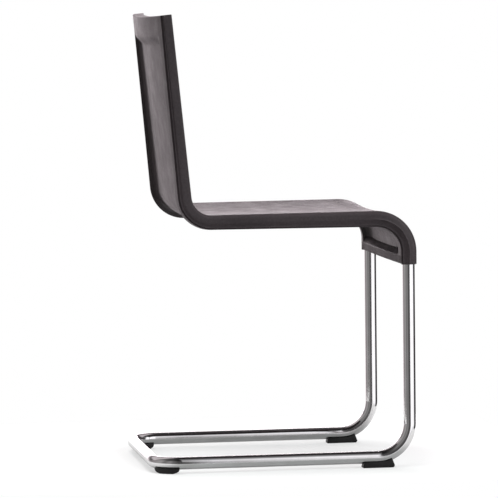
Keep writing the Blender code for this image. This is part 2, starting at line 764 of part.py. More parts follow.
def front_stud_place(sign):
    """Foot of the front glide's stud, on the straight run behind the floor bend."""
    bend_end = UPRIGHT_Y + TUBE_FLOOR_BEND_RADIUS
    straight = FRONT_GLIDE_LENGTH - FRONT_GLIDE_PAST_BEND
    return Vector((sign * TUBE_X, bend_end + straight / 2, 0))


def rear_stud_place(sign):
    """Foot of the rear glide's stud, half way along the glide on the corner bend."""
    middle = corner_direction(sign, REAR_GLIDE_START + REAR_GLIDE_ANGLE / 2)
    return rear_corner_centre(sign) + middle * TUBE_REAR_CORNER_RADIUS


def rear_corner_centre(sign):
    radius = TUBE_REAR_CORNER_RADIUS
    return Vector((sign * (TUBE_X - radius), REAR_TUBE_Y - radius, 0))


def corner_direction(sign, angle):
    """Outwards from the corner bend's centre, turning from the runner towards the rear tube."""
    return Vector((sign * cos(angle), sin(angle), 0))


def add_stud(glide, name, place):
    """Joins the stud that snaps into the hole in the tube's underside."""
    foot = place + Vector((0, 0, GLIDE_HEIGHT / 2))
    top = place + Vector((0, 0, GLIDE_HEIGHT + TUBE_WALL + GLIDE_STUD_INSIDE_TUBE))
    boolean(glide, BASE_SPACE)
    boolean(glide, cylinder(name, foot, top, GLIDE_STUD_DIAMETER / 2), "UNION")
    return finish(glide, BLACK_PLASTIC)


def front_glide_outline():
    """The pad's side view, along the runner and up under the floor bend."""
    bend = UPRIGHT_Y + TUBE_FLOOR_BEND_RADIUS
    front = bend - FRONT_GLIDE_PAST_BEND
    back = front + FRONT_GLIDE_LENGTH
    slant = FRONT_GLIDE_END_SLANT
    saddle = [(bend - past, GLIDE_HEIGHT + GLIDE_SADDLE + bend_rise(past))
              for past in (0, FRONT_GLIDE_PAST_BEND / 2, FRONT_GLIDE_PAST_BEND - slant)]
    return [(front + slant / 2, 0), (back, 0), (back, GLIDE_HEIGHT + GLIDE_SADDLE),
            *saddle, (front, GLIDE_HEIGHT / 2)]


def bend_rise(past):
    """How far the tube's line has risen at a level distance past the start of its floor bend."""
    return TUBE_FLOOR_BEND_RADIUS * (1 - cos(asin(past / TUBE_FLOOR_BEND_RADIUS)))


def rear_glide_outline(sign):
    """The pad seen from above: a stretch of ring under the corner bend."""
    centre = rear_corner_centre(sign)
    angles = [REAR_GLIDE_START + REAR_GLIDE_ANGLE * i / REAR_GLIDE_STEPS
              for i in range(REAR_GLIDE_STEPS + 1)]
    outer = TUBE_REAR_CORNER_RADIUS + GLIDE_WIDTH / 2
    inner = TUBE_REAR_CORNER_RADIUS - GLIDE_WIDTH / 2
    ring = [centre + corner_direction(sign, angle) * outer for angle in angles]
    ring += [centre + corner_direction(sign, angle) * inner for angle in reversed(angles)]
    return [(point.x, point.y) for point in ring]


def make_glides():
    for side, sign in SIDES.items():
        upright = axes((sign * TUBE_X, 0, 0), (0, 1, 0), (0, 0, 1))
        front = plate(f"front_glide_{side}", front_glide_outline(), GLIDE_WIDTH, upright)
        add_stud(front, f"front_stud_{side}", front_stud_place(sign))
        height = GLIDE_HEIGHT + GLIDE_SADDLE
        flat = Matrix.Translation((0, 0, height / 2))
        rear = plate(f"rear_glide_{side}", rear_glide_outline(sign), height, flat)
        add_stud(rear, f"rear_stud_{side}", rear_stud_place(sign))


make_rails_and_springs()
make_top_strap()
make_tie_and_screws()
make_base_tube()
make_glides()
make_shell()
bpy.context.view_layer.update()
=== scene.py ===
# %% [markdown]
# This lesson dresses a cantilever side chair for its picture. The real chair is a skinned foam shell on
# one bent, chromed tube, with black pads under the tube. Its solids are packed as a fixed frame, so each
# piece made here goes where its solid is, in metres, with +Z up and the chair facing -Y. The frame comes
# first. The dressed chair may not outgrow it.

# %% Load the frame
import json
from math import asin, cos, pi, radians, sin, tan

import bmesh
import bpy
from mathutils import Matrix, Vector


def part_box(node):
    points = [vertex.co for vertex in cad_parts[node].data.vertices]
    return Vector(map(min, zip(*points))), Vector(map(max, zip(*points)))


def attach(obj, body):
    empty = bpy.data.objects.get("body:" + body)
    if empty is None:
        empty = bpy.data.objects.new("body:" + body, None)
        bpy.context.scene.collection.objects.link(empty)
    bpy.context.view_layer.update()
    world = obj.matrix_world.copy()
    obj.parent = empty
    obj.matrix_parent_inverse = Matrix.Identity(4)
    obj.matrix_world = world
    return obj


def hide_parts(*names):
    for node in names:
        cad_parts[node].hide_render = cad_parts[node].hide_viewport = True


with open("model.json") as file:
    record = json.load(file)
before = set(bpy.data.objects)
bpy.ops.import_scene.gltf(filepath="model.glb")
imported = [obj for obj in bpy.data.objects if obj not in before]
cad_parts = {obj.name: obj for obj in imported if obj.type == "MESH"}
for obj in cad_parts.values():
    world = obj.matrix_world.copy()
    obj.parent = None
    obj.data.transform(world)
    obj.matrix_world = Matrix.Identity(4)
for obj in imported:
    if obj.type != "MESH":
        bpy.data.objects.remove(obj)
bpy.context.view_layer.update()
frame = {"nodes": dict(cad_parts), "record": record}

# %% [markdown]
# The picture was taken from the chair's right side, from a little behind and a little above, through a
# long lens: the near and far tubes are almost the same size. A long lens far away gives the same flat
# perspective here. The camera is turned by its three axes, which keeps the small roll of the picture.

# %% Camera
CAMERA_PLACE = Vector((-6.5214, 1.0568, 0.8638))
CAMERA_TURN = radians(8.93)
CAMERA_DROP = radians(4.17)
CAMERA_ROLL = radians(-0.63)
CAMERA_LENS = 263.0

level_share = cos(CAMERA_DROP)
looking = Vector((cos(CAMERA_TURN) * level_share, -sin(CAMERA_TURN) * level_share, -sin(CAMERA_DROP)))
level_right = looking.cross(Vector((0, 0, 1))).normalized()
level_up = level_right.cross(looking)
camera_right = level_right * cos(CAMERA_ROLL) + level_up * sin(CAMERA_ROLL)
camera_up = level_up * cos(CAMERA_ROLL) - level_right * sin(CAMERA_ROLL)

camera = bpy.data.objects.new("picture_camera", bpy.data.cameras.new("picture_camera"))
camera.data.lens = CAMERA_LENS
turned = Matrix((camera_right, camera_up, -looking)).transposed().to_4x4()
camera.matrix_world = Matrix.Translation(CAMERA_PLACE) @ turned
bpy.context.scene.collection.objects.link(camera)
bpy.context.scene.camera = camera
print("camera is", round(CAMERA_PLACE.length, 2), "m from the chair")

# %% [markdown]
# Seen from the side, the shell follows one line: down the back, round the bend behind the sitter, along
# the seat, round the front bend and down the apron. The tube below is also straight runs and bends. A
# Bezier curve would only come near such bends, so a small class holds straight runs and true arcs and
# gives the point and the direction at any distance along them.

# %% Straight runs and arcs
class Route:
    """Straight runs joined by arcs through the given corners, read by the distance along them."""

    def __init__(self, corners, radii):
        corners = [Vector(corner) for corner in corners]
        self.runs = []
        start = corners[0]
        for before, corner, after, radius in zip(corners, corners[1:], corners[2:], radii):
            entering = (corner - before).normalized()
            leaving = (after - corner).normalized()
            turn = entering.angle(leaving)
            reach = radius * tan(turn / 2)
            self.straight(start, corner - entering * reach)
            self.arc(corner - entering * reach, entering, leaving, radius, turn)
            start = corner + leaving * reach
        self.straight(start, corners[-1])

    def straight(self, start, end):
        direction = (end - start).normalized()
        self.runs.append(((end - start).length, lambda d: (start + direction * d, direction)))

    def arc(self, start, entering, leaving, radius, turn):
        axis = entering.cross(leaving).normalized()
        centre = start + axis.cross(entering) * radius

        def place(distance):
            rotation = Matrix.Rotation(distance / radius, 3, axis)
            return centre + rotation @ (start - centre), rotation @ entering

        self.runs.append((radius * turn, place))

    def ends(self):
        marks = [0.0]
        for length, _ in self.runs:
            marks.append(marks[-1] + length)
        return marks

    def at(self, distance):
        for length, place in self.runs[:-1]:
            if distance <= length:
                return place(distance)
            distance -= length
        return self.runs[-1][1](distance)

    def marks(self, straight_steps, arc_steps):
        """Distances that follow the route closely, with the given steps in each kind of run."""
        ends = self.ends()
        found = []
        for number, (first, last) in enumerate(zip(ends, ends[1:])):
            count = arc_steps if number % 2 else straight_steps
            found += [first + (last - first) * i / count for i in range(count)]
        return found + [ends[-1]]


corner = Route([(0, 0, 0), (0, 1, 0), (0, 1, 1)], [0.5])
print("round a corner with a bend of 0.5 m it is", round(corner.ends()[-1], 3), "m instead of 2 m")

# %% The shell's line from the side
HALF_WIDTH = 0.195
FRONT_Y = -0.24125
TOP_Z = 0.8119
SEAT_FRONT_Z = 0.460
SEAT_DEPTH = 0.4015
SEAT_SLOPE = radians(0.34)
BACK_RECLINE = radians(5.55)
REAR_BEND_RADIUS = 0.036
FRONT_BEND_RADIUS = 0.0745
SHELL_END_Z = 0.3626

seat_rear_y = FRONT_Y + SEAT_DEPTH
seat_rear_z = SEAT_FRONT_Z - SEAT_DEPTH * tan(SEAT_SLOPE)
back_top_y = seat_rear_y + (TOP_Z - seat_rear_z) * tan(BACK_RECLINE)
shell_corners = [(0, back_top_y, TOP_Z), (0, seat_rear_y, seat_rear_z), (0, FRONT_Y, SEAT_FRONT_Z),
                 (0, FRONT_Y, SHELL_END_Z)]
shell_line = Route(shell_corners, [REAR_BEND_RADIUS, FRONT_BEND_RADIUS])
_, _, _, SEAT_FRONT, _, APRON_END = shell_line.ends()
print("line along the shell:", round(APRON_END, 3), "m")


# %% Values that change along the line
def along(distance, values):
    """A value given at the top and at the ends of the line's runs, read anywhere along it."""
    ends = shell_line.ends()
    for first, last, low, high in zip(ends, ends[1:], values, values[1:]):
        if distance <= last:
            return low + (high - low) * (distance - first) / (last - first)
    return values[-1]


def smooth(value, low, high):
    """Rises from 0 at low to 1 at high, gently at both ends."""
    share = min(1.0, max(0.0, (value - low) / (high - low)))
    return share * share * (3 - 2 * share)


def eased(share, ease):
    """A straight rise to 1 whose upper corner is rounded off."""
    if share < 1 - ease:
        return share
    part = min(1.0, (share - 1 + ease) / (2 * ease))
    return 1 - ease + 2 * ease * (part - part * part / 2)


print("a smooth rise:", [round(smooth(share, 0, 1), 2) for share in (0.0, 0.25, 0.5, 0.75, 1.0)])

# %% [markdown]
# Across the chair, the moulding is a thin web between two deep side beams. The sitter's side is dished,
# and its outer edges are rounded, more so towards the front. Behind, a solid band crosses the top and the
# web follows below a soft ramp. At the foot of the apron the web ends in a fine edge with a gutter under
# it, and a ledge slopes out from there to a lip. All of this could be carved with booleans, but a section
# that changes along the line is smoother and needs no clean-up, so each height and depth is a function of
# the distance along the line. Each row below holds a size at the top, the foot of the back, the rear and
# the front of the seat, and the top and the foot of the apron.

# %% How the section changes
DISH = (0.014, 0.009, 0.005, 0.005, 0.003, 0.003)
BEAM_DEPTH = (0.0204, 0.0244, 0.0263, 0.0290, 0.0296, 0.0296)
WEB_THICKNESS = (0.0095, 0.0105, 0.0125, 0.0125, 0.017, 0.017)
EDGE_RADIUS = (0.003, 0.003, 0.0085, 0.0085, 0.012, 0.012)

BAND_HEIGHT, BAND_DIP, BAND_RAMP = 0.031, 0.007, 0.018
RAMP_END = BAND_HEIGHT + BAND_DIP + BAND_RAMP
LIP_HEIGHT, LIP_ROUND, LIP_RECESS = 0.0158, 0.10, 0.0005
LEDGE_HEIGHT, LEDGE_BOW, GUTTER_DEPTH, GUTTER_EDGE = 0.0100, 0.0058, 0.0008, 0.0016
LIP_TOP = APRON_END - LIP_HEIGHT
LEDGE_TOP = LIP_TOP - LEDGE_HEIGHT - LEDGE_BOW


def bow(x):
    return 1 - (x / HALF_WIDTH) ** 2


def dish(distance, x):
    return along(distance, DISH) * bow(x)


def ledge(distance, x):
    """1 on the web, a little more in the gutter, then down the slope to almost 0 at the lip."""
    top = LEDGE_TOP + LEDGE_BOW * bow(x)
    foot = top + GUTTER_EDGE
    full = along(distance, BEAM_DEPTH) - along(distance, WEB_THICKNESS)
    gutter = 1 + smooth(distance, top, foot) * GUTTER_DEPTH / full
    slope = max(0.0, distance - foot) / (LIP_TOP - foot)
    return gutter * (1 - (1 - LIP_RECESS / full) * eased(slope, LIP_ROUND))


def web_edge_highlight(distance, x):
    """1 on the fine edge where the web meets the gutter, and 0 away from it; it paints a highlight along
    that edge.
    """
    return max(0.0, 1 - abs(distance - LEDGE_TOP - LEDGE_BOW * bow(x)) / GUTTER_EDGE)


def hollow(distance, x):
    """How much of the hollow between the beams shows: none at the top band, and almost none at the lip."""
    return smooth(distance, BAND_HEIGHT + BAND_DIP * bow(x), RAMP_END) * ledge(distance, x)


print("ledge:", [round(ledge(LIP_TOP - LEDGE_HEIGHT * share, 0.0), 2) for share in (1.2, 0.8, 0.4, 0.0)])

# %% [markdown]
# One half of the section is enough, since the other half mirrors it. It runs from the middle of the
# sitter's side round the outer edge to the middle behind, and each stretch of it has its own function.
# The outer side leans in behind a fine bead, the parting line of the mould. Behind, a small rebate takes
# off the outer edge, and a wide fillet leads from the beam's wall into the web. Every point also says how
# much paler its colour is: a little on edges rubbed by hands and clothes, and more where a highlight is
# painted along the bead, the side's rear edge and the web's fine edge, so that the finish can show it.

# %% The sitter's side and the outer side
FRONT_STEPS, EDGE_STEPS, SIDE_STEPS = 18, 10, 3
FRONT_DRAFT, SIDE_DRAFT, BEND_DRAFT, SIDE_EDGE = 0.0005, 0.0009, 0.0026, 0.0020
DRAFT_GROWS = (SEAT_FRONT - 0.10, SEAT_FRONT + 0.03)
BEAD_DEPTH, BEAD_WIDTH, BEAD_HEIGHT = 0.0146, 0.0022, 0.0008
BEAD_SHARES = (0.5, 1.0, 0.5, 0.0)
BEAD_GROWS = (SEAT_FRONT - 0.03, SEAT_FRONT + 0.02)
# How much paler the edges are drawn: the front edge from wear, the bead and the side's rear edge as painted
# highlights.
FRONT_RUB, BEAD_HIGHLIGHT, SIDE_EDGE_HIGHLIGHT = 0.3, 2.0, 0.8


def quarter(steps):
    return [pi / 2 * (i + 1) / steps for i in range(steps)]


def straight(start, end, steps):
    return [(start[0] + (end[0] - start[0]) * (i + 1) / steps,
             start[1] + (end[1] - start[1]) * (i + 1) / steps, 0.0) for i in range(steps)]


def lean(distance):
    """How far the outer side leans in behind the parting line, so that the moulding leaves its tool."""
    return SIDE_DRAFT + (BEND_DRAFT - SIDE_DRAFT) * smooth(distance, *DRAFT_GROWS)


def front_face(half, radius, inset):
    flat = half - radius
    line = [(0.0, inset, 0.0), *straight((0, inset), (flat, inset), FRONT_STEPS)]
    return line + [(flat + (radius - FRONT_DRAFT) * sin(a), inset + radius * (1 - cos(a)),
                    FRONT_RUB * sin(2 * a)) for a in quarter(EDGE_STEPS)]


def side_face(distance, half, start, end):
    """The outer side, with the bead that grows out of it round the front bend, and painted highlights along
    the bead and the rear edge.
    """
    grown = smooth(distance, *BEAD_GROWS)
    height = BEAD_HEIGHT * grown
    first, last = BEAD_DEPTH - BEAD_WIDTH / 2, BEAD_DEPTH + BEAD_WIDTH / 2
    line = straight((half - FRONT_DRAFT, start), (half, first), SIDE_STEPS)
    line += [(half + height * share, first + BEAD_WIDTH * (i + 1) / len(BEAD_SHARES),
              BEAD_HIGHLIGHT * share * grown) for i, share in enumerate(BEAD_SHARES)]
    line += straight((half, last), (half - lean(distance), end - SIDE_EDGE), SIDE_STEPS)
    return line + [(half - lean(distance), end, SIDE_EDGE_HIGHLIGHT)]


print("the side leans in by", [round(lean(d), 4) for d in (0.0, SEAT_FRONT, APRON_END)], "m")

# %% The rear of the beam and the web
BEAM_WIDTH, WALL_DRAFT, INNER_RADIUS = 0.027, 0.0015, 0.0025
BEAM_INNER = HALF_WIDTH - BEAM_WIDTH
REBATE_WIDTH, REBATE_STEP, REAR_TILT = 0.0030, 0.0026, 0.0006
REBATE_LINE = ((0.92, 0.04, 0.0), (1.0, 0.14, 0.0), (1.0, 0.9, 0.0), (1.06, 0.97, 0.2), (1.2, 1.0, 0.0),
               (1.6, 1.0, 0.0))
PLAIN_BOW, PLAIN_STEP = 0.15, 0.2
FILLET_SHARE, FILLET_REACH = 0.75, 0.024
INNER_STEPS, WALL_STEPS, FILLET_STEPS, WEB_STEPS = 4, 2, 7, 7
WALL_RUB = 0.15


def notch(inward, behind, fade):
    """How far in a point of the rebate lies; at the shell's ends the rebate runs out into a plain edge."""
    return inward * (1 - fade) + fade * (PLAIN_BOW * behind ** 2 + PLAIN_STEP * max(0.0, inward - 1))


def rear_face(edge, depth, fade):
    line = [(edge - REBATE_STEP * notch(inward, behind, fade), depth - REBATE_WIDTH * (1 - behind), wear_and_highlight)
            for inward, behind, wear_and_highlight in REBATE_LINE]
    line += straight(line[-1], (BEAM_INNER + INNER_RADIUS, depth), WALL_STEPS)
    return [(x, behind - REAR_TILT * (x - BEAM_INNER) / (edge - BEAM_INNER), wear_and_highlight) for x, behind, wear_and_highlight in line]


def inner_wall(distance, depth):
    """The beam's inner edge and wall, the fillet at its foot, and the web as far as the middle."""
    foot = BEAM_INNER - WALL_DRAFT
    web = along(distance, WEB_THICKNESS)
    fillet = FILLET_SHARE * (depth - web)
    line = [(BEAM_INNER + INNER_RADIUS * (1 - sin(a)), depth - INNER_RADIUS * (1 - cos(a)),
             WALL_RUB * sin(2 * a)) for a in quarter(INNER_STEPS)]
    line += straight((BEAM_INNER, depth - INNER_RADIUS), (foot, web + fillet), WALL_STEPS)
    line += [(foot - FILLET_REACH * (1 - cos(a)), web + fillet * (1 - sin(a)), 0.0)
             for a in quarter(FILLET_STEPS)]
    line += straight((foot - FILLET_REACH, web), (0, web), WEB_STEPS)
    # The web's fine edge gets a painted highlight, in the same paler colour as worn edges.
    return [(x, depth + (behind - depth) * hollow(distance, x), max(wear_and_highlight, web_edge_highlight(distance, x)))
            for x, behind, wear_and_highlight in line]


print("the beam's wall stands", round(BEAM_DEPTH[1] - WEB_THICKNESS[1], 4), "m out of the web")

# %% The whole half section
LIP_TILT, END_CHAMFER, CHAMFER_WALL, END_RADIUS = 0.0008, 0.0030, 0.005, 0.0011


def end_cut(distance, x, half):
    """Leans the lip in towards its foot and takes its edge off there, except at the outer walls."""
    tilt = LIP_TILT * max(0.0, distance - LIP_TOP) / LIP_HEIGHT
    chamfer = max(0.0, END_CHAMFER - (APRON_END - distance))
    return (tilt + chamfer) * (1 - smooth(x, half - 2 * CHAMFER_WALL, half - CHAMFER_WALL))


def half_section(distance, inset):
    """(x, depth, paleness from wear and painted highlight) from the middle of the sitter's side, round the
    left edge, to the middle behind.
    """
    half, depth = HALF_WIDTH - inset, along(distance, BEAM_DEPTH) - inset
    radius = along(distance, EDGE_RADIUS)
    front = front_face(half, radius, inset)
    side = side_face(distance, half, inset + radius, depth - REBATE_WIDTH - REAR_TILT)
    rear = rear_face(half - lean(distance), depth, inset / END_RADIUS) + inner_wall(distance, depth)
    rear = [(x, behind - end_cut(distance, x, half), wear_and_highlight) for x, behind, wear_and_highlight in rear]
    return [(x, behind + dish(distance, x), wear_and_highlight) for x, behind, wear_and_highlight in front + side + rear]


print("points in half a section:", len(half_section(0.1, 0.0)))

# %% [markdown]
# The sections are now set along the line and joined by quads. They lie close together where the shape
# turns: at the rounded ends, on the ramp under the band, in the bends and at the ledge. Each end closes
# with a strip of quads between the sitter's side and the web, and with one flat face for each beam, where
# the outline turns too often for quads to lie flat without crossing.

# %% Stations along the shell
END_STEPS, BAND_STEPS, RAMP_STEPS = 5, 3, 14
BACK_STEPS, BEND_STEPS = 12, 24
GUTTER_STEPS, LEDGE_STEPS, LIP_STEPS = 26, 7, 6
TOP_RUB, FOOT_RUB = 0.3, 0.15


def spread(first, last, steps):
    return [first + (last - first) * i / steps for i in range(steps + 1)]


def stations():
    """(distance, inset, rub) of every section, from the rounded top to the rounded lower end."""
    turns = [pi / 2 * i / END_STEPS for i in range(END_STEPS)]
    rounded = [(END_RADIUS * (1 - cos(a)), END_RADIUS * (1 - sin(a)), cos(a)) for a in turns]
    top = [(past, inset, TOP_RUB * wear_and_highlight) for past, inset, wear_and_highlight in rounded]
    bottom = [(APRON_END - past, inset, FOOT_RUB * wear_and_highlight) for past, inset, wear_and_highlight in reversed(rounded)]
    places = spread(END_RADIUS, BAND_HEIGHT, BAND_STEPS) + spread(BAND_HEIGHT, RAMP_END, RAMP_STEPS)
    places += [mark for mark in shell_line.marks(BACK_STEPS, BEND_STEPS) if RAMP_END < mark < LEDGE_TOP]
    gutter_end = LEDGE_TOP + LEDGE_BOW + GUTTER_EDGE
    places += spread(LEDGE_TOP, gutter_end, GUTTER_STEPS)
    corner = LIP_ROUND * LEDGE_HEIGHT
    places += spread(gutter_end, LIP_TOP - corner, LEDGE_STEPS)
    places += spread(LIP_TOP - corner, LIP_TOP + corner, LIP_STEPS)
    places += [APRON_END - LIP_HEIGHT / 2, APRON_END - END_CHAMFER, APRON_END - END_RADIUS]
    return top + [(place, 0.0, 0.0) for place in sorted(set(places))] + bottom


print("sections:", len(stations()))

# %% Loft the shell
TOP_EDGE_DIP = 0.003


def shell_point(distance, x, depth):
    sink = TOP_EDGE_DIP * bow(x) * max(0.0, 1 - distance / BAND_HEIGHT)
    point, travel = shell_line.at(distance + sink)
    return Vector((x, 0, 0)) + point + Vector((0, -travel.z, travel.y)) * depth


def make_object(name, edit):
    mesh = bpy.data.meshes.new(name)
    bmesh.ops.recalc_face_normals(edit, faces=edit.faces)
    edit.to_mesh(mesh)
    edit.free()
    made = bpy.data.objects.new(name, mesh)
    bpy.context.scene.collection.objects.link(made)
    return made


def join_rings(edit, rings):
    for ring, following in zip(rings, rings[1:]):
        for i in range(len(ring)):
            edit.faces.new((ring[i - 1], ring[i], following[i], following[i - 1]))


def close_end(edit, ring):
    last = len(ring) // 2
    for side in (1, -1):
        for i in range(FRONT_STEPS):
            places = (i, i + 1, last - i - 1, last - i)
            edit.faces.new(dict.fromkeys(ring[side * place] for place in places))
        edit.faces.new([ring[side * i] for i in range(FRONT_STEPS, last - FRONT_STEPS + 1)])


def loft_shell():
    edit = bmesh.new()
    wear_and_highlight_layer = edit.verts.layers.float.new("wear_and_highlight")
    rings = []
    for distance, inset, end_rub in stations():
        left = half_section(distance, inset)
        right = [(-x, depth, wear_and_highlight) for x, depth, wear_and_highlight in reversed(left[1:-1])]
        ring = []
        for x, depth, wear_and_highlight in left + right:
            vert = edit.verts.new(shell_point(distance, x, depth))
            # The paler share comes from worn edges and from painted highlight lines.
            vert[wear_and_highlight_layer] = max(wear_and_highlight, end_rub)
            ring.append(vert)
        rings.append(ring)
    join_rings(edit, rings)
    close_end(edit, rings[0])
    close_end(edit, rings[-1])
    return make_object("shell_skin", edit)


shell = loft_shell()
print("shell faces:", len(shell.data.polygons))

# %% [markdown]
# The tube is one length of round steel, bent at the floor and at the two rear corners. A curve with a
# round bevel is the natural way to make it, and Solidify gives the wall. Its bends need fine steps,
# because polished metal shows every flat in its reflections.

# %% The bent tube
TUBE_RADIUS, TUBE_WALL = 0.011, 0.0027
TUBE_X = 0.181
UPRIGHT_Y, REAR_Y, RUNNER_Z = -0.22675, 0.23025, 0.018
FLOOR_BEND, CORNER_BEND = 0.060, 0.045
TUBE_TOP_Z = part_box("base_tube")[1].z
TUBE_RUN_STEPS, TUBE_BEND_STEPS, TUBE_SIDES = 6, 28, 56
SAME_POINT = 1e-6

right_half = [(-TUBE_X, UPRIGHT_Y, TUBE_TOP_Z), (-TUBE_X, UPRIGHT_Y, RUNNER_Z), (-TUBE_X, REAR_Y, RUNNER_Z)]
left_half = [(-x, y, z) for x, y, z in reversed(right_half)]
tube_line = Route(right_half + left_half, [FLOOR_BEND, CORNER_BEND, CORNER_BEND, FLOOR_BEND])
tube_points = [tube_line.at(mark)[0] for mark in tube_line.marks(TUBE_RUN_STEPS, TUBE_BEND_STEPS)]


def as_mesh(made):
    """Swaps an object for the mesh that its curve and modifiers make."""
    bpy.context.view_layer.update()
    mesh = bpy.data.meshes.new_from_object(made.evaluated_get(bpy.context.evaluated_depsgraph_get()))
    name = made.name
    bpy.data.objects.remove(made)
    edit = bmesh.new()
    edit.from_mesh(mesh)
    bmesh.ops.remove_doubles(edit, verts=edit.verts, dist=SAME_POINT)
    bpy.data.meshes.remove(mesh)
    return make_object(name, edit)


def bent_bar(name, points, radius, wall=None):
    curve = bpy.data.curves.new(name, "CURVE")
    curve.dimensions = "3D"
    spline = curve.splines.new("POLY")
    spline.points.add(len(points) - 1)
    for place, point in zip(spline.points, points):
        place.co = (*point, 1.0)
    curve.bevel_depth = radius
    # A round bevel has four sides, and two more for each step of its resolution.
    curve.bevel_resolution = (TUBE_SIDES - 4) // 2
    curve.use_fill_caps = wall is None
    bar = bpy.data.objects.new(name, curve)
    bpy.context.scene.collection.objects.link(bar)
    if wall is not None:
        skin = bar.modifiers.new("wall", "SOLIDIFY")
        skin.thickness, skin.offset = wall, -1
    return as_mesh(bar)


tube = bent_bar("tube_skin", tube_points, TUBE_RADIUS, TUBE_WALL)
print("tube:", round(tube_line.ends()[-1], 3), "m long,", len(tube.data.polygons), "faces")

# %% [markdown]
# The tube's ends plug into the lower ends of the shell, and a flat tie sits in a slot under the lip. The
# loft is solid there, so these few places are cut from below: a socket for each tube end, and the slot
# and its two end pockets for the tie. The sizes leave the same thin gaps as the solids have.

# %% Tools for cutting
def block(name, low, high):
    edit = bmesh.new()
    middle = (Vector(low) + Vector(high)) / 2
    size = Vector(high) - Vector(low)
    bmesh.ops.create_cube(edit, size=1, matrix=Matrix.Translation(middle) @ Matrix.Diagonal((*size, 1)))
    return make_object(name, edit)


def cut(target, cutters):
    for cutter in cutters:
        change = target.modifiers.new("cut", "BOOLEAN")
        change.operation, change.solver, change.object = "DIFFERENCE", "EXACT", cutter
    made = as_mesh(target)
    for cutter in cutters:
        bpy.data.objects.remove(cutter)
    return made


# %% Cut the sockets and the tie's slot
SOCKET_GAP, SLOT_GAP = 0.0006, 0.0003
SOCKET_PAST_END, SLOT_PAST_END = 0.02, 0.01
TIE_LOW, TIE_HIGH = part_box("front_cross_tie")
TIE_THICKNESS, POCKET_LENGTH = 0.003, 0.0114

socket_foot, socket_top = SHELL_END_Z - SOCKET_PAST_END, TUBE_TOP_Z + SLOT_GAP
sockets = [bent_bar(f"socket_{i}", [(x, UPRIGHT_Y, socket_foot), (x, UPRIGHT_Y, socket_top)],
                    TUBE_RADIUS + SOCKET_GAP) for i, x in enumerate((-TUBE_X, TUBE_X))]

first_x, last_x = TIE_LOW.x - SLOT_GAP, TIE_HIGH.x + SLOT_GAP
slot_foot, slot_top = SHELL_END_Z - SLOT_PAST_END, TIE_HIGH.z + SLOT_GAP
slot_front, slot_back = TIE_HIGH.y - TIE_THICKNESS - SLOT_GAP, TIE_HIGH.y + SLOT_GAP
slot = block("slot", (first_x, slot_front, slot_foot), (last_x, slot_back, slot_top))

pocket_front = TIE_LOW.y - SLOT_GAP
pocket_ends = ((first_x, TIE_LOW.x + POCKET_LENGTH), (TIE_HIGH.x - POCKET_LENGTH, last_x))
pockets = [block(f"pocket_{i}", (first, pocket_front, slot_foot), (last, slot_back, slot_top))
           for i, (first, last) in enumerate(pocket_ends)]
shell = cut(shell, [*sockets, slot, *pockets])
print("shell faces after cutting:", len(shell.data.polygons))

# %% [markdown]
# Four moulded pads keep the tube off the floor: long ones under the front of the runners, reaching up
# under the bend, and curved ones under the rear corners, with ends like a boat's. A box with bevels would
# miss those outlines, so each pad is built from a few loops that are joined like the shell's sections. All
# its edges are rounded like a moulding, and the tube's own shape is then cut from its top.

# %% Outlines of the pads
PAD_HEIGHT, PAD_SADDLE, PAD_WIDTH = 0.007, 0.0035, 0.021
PAD_TOP = PAD_HEIGHT + PAD_SADDLE
FRONT_PAD_LENGTH, FRONT_PAD_PAST_BEND, FRONT_PAD_SLANT, FRONT_PAD_STEPS = 0.058, 0.031, 0.005, 6
REAR_PAD_START, REAR_PAD_ANGLE, REAR_PAD_STEPS = radians(5), radians(54), 18
REAR_PAD_ENDS = ((0.0, radians(13)), (0.2, radians(6)), (0.45, radians(1.5)), (1.0, 0.0))


def front_pad_loops(x):
    """The side view of the pad, on its two sides."""
    bend = UPRIGHT_Y + FLOOR_BEND
    front = bend - FRONT_PAD_PAST_BEND
    back = front + FRONT_PAD_LENGTH
    rise = [(past, PAD_TOP + FLOOR_BEND * (1 - cos(asin(past / FLOOR_BEND))))
            for past in spread(0, FRONT_PAD_PAST_BEND - FRONT_PAD_SLANT, FRONT_PAD_STEPS)]
    line = [(front + FRONT_PAD_SLANT / 2, 0), (back, 0), (back - FRONT_PAD_SLANT / 2, PAD_TOP)]
    line += [(bend - past, z) for past, z in rise] + [(front, PAD_HEIGHT / 2)]
    return [[Vector((x + across, y, z)) for y, z in line] for across in (-PAD_WIDTH / 2, PAD_WIDTH / 2)]


def rear_pad_loops(side):
    """The view from above at several heights: a stretch of ring under the corner, shorter low down."""
    centre = Vector((side * (TUBE_X - CORNER_BEND), REAR_Y - CORNER_BEND, 0))
    outer, inner = CORNER_BEND + PAD_WIDTH / 2, CORNER_BEND - PAD_WIDTH / 2
    loops = []
    for up, cut_back in REAR_PAD_ENDS:
        first, last = REAR_PAD_START + cut_back, REAR_PAD_START + REAR_PAD_ANGLE - cut_back
        angles = spread(first, last, REAR_PAD_STEPS)
        ring = [(angle, outer) for angle in angles] + [(angle, inner) for angle in reversed(angles)]
        base = centre + Vector((0, 0, up * PAD_TOP))
        loops.append([base + Vector((side * cos(angle), sin(angle), 0)) * radius for angle, radius in ring])
    return loops


print("points round a rear pad:", len(rear_pad_loops(1)[0]))

# %% Round and cut the pads
PAD_ROUND, PAD_ROUND_STEPS, PAD_CORNER = 0.0014, 4, radians(40)
ROUND_PROFILE = 0.5
PAD_GAP = 0.0003


